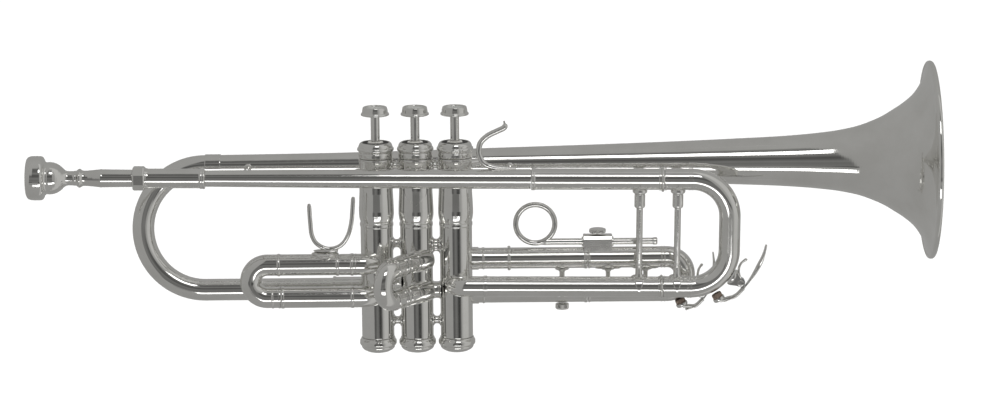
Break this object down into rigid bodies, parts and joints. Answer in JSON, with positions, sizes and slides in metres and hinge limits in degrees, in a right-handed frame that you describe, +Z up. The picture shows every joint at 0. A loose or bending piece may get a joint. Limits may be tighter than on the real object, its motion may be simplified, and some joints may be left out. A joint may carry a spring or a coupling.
{
  "type": "trumpet",
  "caption": "Silver-plated B-flat piston trumpet with sprung valves, tuning and valve slides, water keys, finger hooks and a removable mouthpiece.",
  "frame": {"origin": "on the axis of the second valve, at the height of the bell's axis, where the left hand grips the valve block", "axes": "+X towards the bell and along the bell's axis, +Z up along the valves' axes, +Y to the player's left"},
  "size_m": [0.5576, 0.1297, 0.1758],
  "materials": {
    "silver_plate": "polished silver plate on brass",
    "nickel_alloy": "lapped nickel-copper alloy",
    "spring_steel": "drawn spring wire",
    "cork": "cut natural cork",
    "felt": "pressed wool felt",
    "button_inlay": "pearl-like disc"
  },
  "bodies": {
    "instrument": {"valve_casing_1": "silver_plate", "valve_casing_2": "silver_plate", "valve_casing_3": "silver_plate", "top_cap_1": "silver_plate", "top_cap_2": "silver_plate", "top_cap_3": "silver_plate", "bottom_cap_1": "silver_plate", "bottom_cap_2": "silver_plate", "bottom_cap_3": "silver_plate", "valve_guide_1": "nickel_alloy", "valve_guide_2": "nickel_alloy", "valve_guide_3": "nickel_alloy", "valve_spring_1": "spring_steel", "valve_spring_2": "spring_steel", "valve_spring_3": "spring_steel", "leadpipe": "silver_plate", "mouthpiece_receiver": "silver_plate", "main_slide_outer_upper": "silver_plate", "main_slide_outer_lower": "silver_plate", "main_slide_outer_brace": "silver_plate", "bell_stem": "silver_plate", "bell_flare": "silver_plate", "bell_bow": "silver_plate", "first_slide_outer_upper": "silver_plate", "first_slide_outer_lower": "silver_plate", "second_slide_outer_upper": "silver_plate", "second_slide_outer_lower": "silver_plate", "third_slide_outer_upper": "silver_plate", "third_slide_outer_lower": "silver_plate", "third_slide_outer_brace": "silver_plate", "pinky_hook": "silver_plate", "bell_lead_brace_rear": "silver_plate", "bell_lead_brace_front": "silver_plate", "lead_valve_brace": "silver_plate", "bell_valve_brace": "silver_plate"},
    "piston_1_set": {"piston_1": "nickel_alloy", "finger_button_1": "silver_plate"},
    "piston_2_set": {"piston_2": "nickel_alloy", "finger_button_2": "silver_plate"},
    "piston_3_set": {"piston_3": "nickel_alloy", "finger_button_3": "silver_plate"},
    "main_slide_set": {"main_tuning_slide": "silver_plate", "main_slide_brace": "silver_plate", "main_water_key_saddle": "silver_plate"},
    "main_water_key_set": {"main_water_key_lever": "silver_plate", "main_water_key_cork": "cork"},
    "first_slide_set": {"first_slide": "silver_plate", "first_slide_thumb_hook": "silver_plate"},
    "second_slide_set": {"second_slide": "silver_plate"},
    "third_slide_set": {"third_slide": "silver_plate", "ring_clamp": "silver_plate", "third_water_key_saddle": "silver_plate"},
    "third_water_key_set": {"third_water_key_lever": "silver_plate", "third_water_key_cork": "cork"},
    "finger_ring_set": {"third_slide_finger_ring": "silver_plate"},
    "clamp_screw_set": {"ring_clamp_screw": "silver_plate"},
    "lyre_screw_set": {"lyre_screw": "silver_plate"},
    "mouthpiece_set": {"mouthpiece": "silver_plate"}
  },
  "joints": [
    {"name": "piston_1_press", "type": "slide", "parent": "instrument", "child": "piston_1_set", "axis": [0, 0, -1], "range_m": [0, 0.016], "stiffness_N_per_m": 60, "springref_m": -0.04, "deforming": ["valve_spring_1"]},
    {"name": "piston_2_press", "type": "slide", "parent": "instrument", "child": "piston_2_set", "axis": [0, 0, -1], "range_m": [0, 0.016], "stiffness_N_per_m": 60, "springref_m": -0.04, "deforming": ["valve_spring_2"]},
    {"name": "piston_3_press", "type": "slide", "parent": "instrument", "child": "piston_3_set", "axis": [0, 0, -1], "range_m": [0, 0.016], "stiffness_N_per_m": 60, "springref_m": -0.04, "deforming": ["valve_spring_3"]},
    {"name": "main_slide_pull", "type": "slide", "parent": "instrument", "child": "main_slide_set", "axis": [0.9999, 0, -0.0105], "range_m": [0, 0.04]},
    {"name": "first_slide_pull", "type": "slide", "parent": "instrument", "child": "first_slide_set", "axis": [-1, 0, 0], "range_m": [0, 0.02]},
    {"name": "second_slide_pull", "type": "slide", "parent": "instrument", "child": "second_slide_set", "axis": [-0.5779, -0.8161, 0], "range_m": [0, 0.009]},
    {"name": "third_slide_pull", "type": "slide", "parent": "instrument", "child": "third_slide_set", "axis": [1, 0, 0], "range_m": [0, 0.025]},
    {"name": "finger_ring_slide", "type": "slide", "parent": "third_slide_set", "child": "finger_ring_set", "axis": [1, 0, 0], "range_m": [-0.012, 0.012]},
    {"name": "clamp_screw_turn", "type": "hinge", "parent": "third_slide_set", "child": "clamp_screw_set", "pos_m": [0.112, 0.005, -0.04], "axis": [0, 0, 1], "range_deg": [0, 360]},
    {"name": "lyre_screw_turn", "type": "hinge", "parent": "instrument", "child": "lyre_screw_set", "pos_m": [0.0899, 0.005, -0.088], "axis": [0, 0, -1], "range_deg": [0, 360]},
    {"name": "main_water_key_press", "type": "hinge", "parent": "main_slide_set", "child": "main_water_key_set", "pos_m": [0.1991, -0.014, -0.0687], "axis": [0, -1, 0], "range_deg": [0, 14], "stiffness_Nm_per_rad": 0.02, "springref_deg": -57.3},
    {"name": "third_water_key_press", "type": "hinge", "parent": "third_slide_set", "child": "third_water_key_set", "pos_m": [0.1765, 0.005, -0.0795], "axis": [0, -1, 0], "range_deg": [0, 14], "stiffness_Nm_per_rad": 0.02, "springref_deg": -57.3},
    {"name": "mouthpiece_pull", "type": "slide", "parent": "instrument", "child": "mouthpiece_set", "axis": [-0.9999, 0, 0.0105], "range_m": [0, 0.024]}
  ]
}
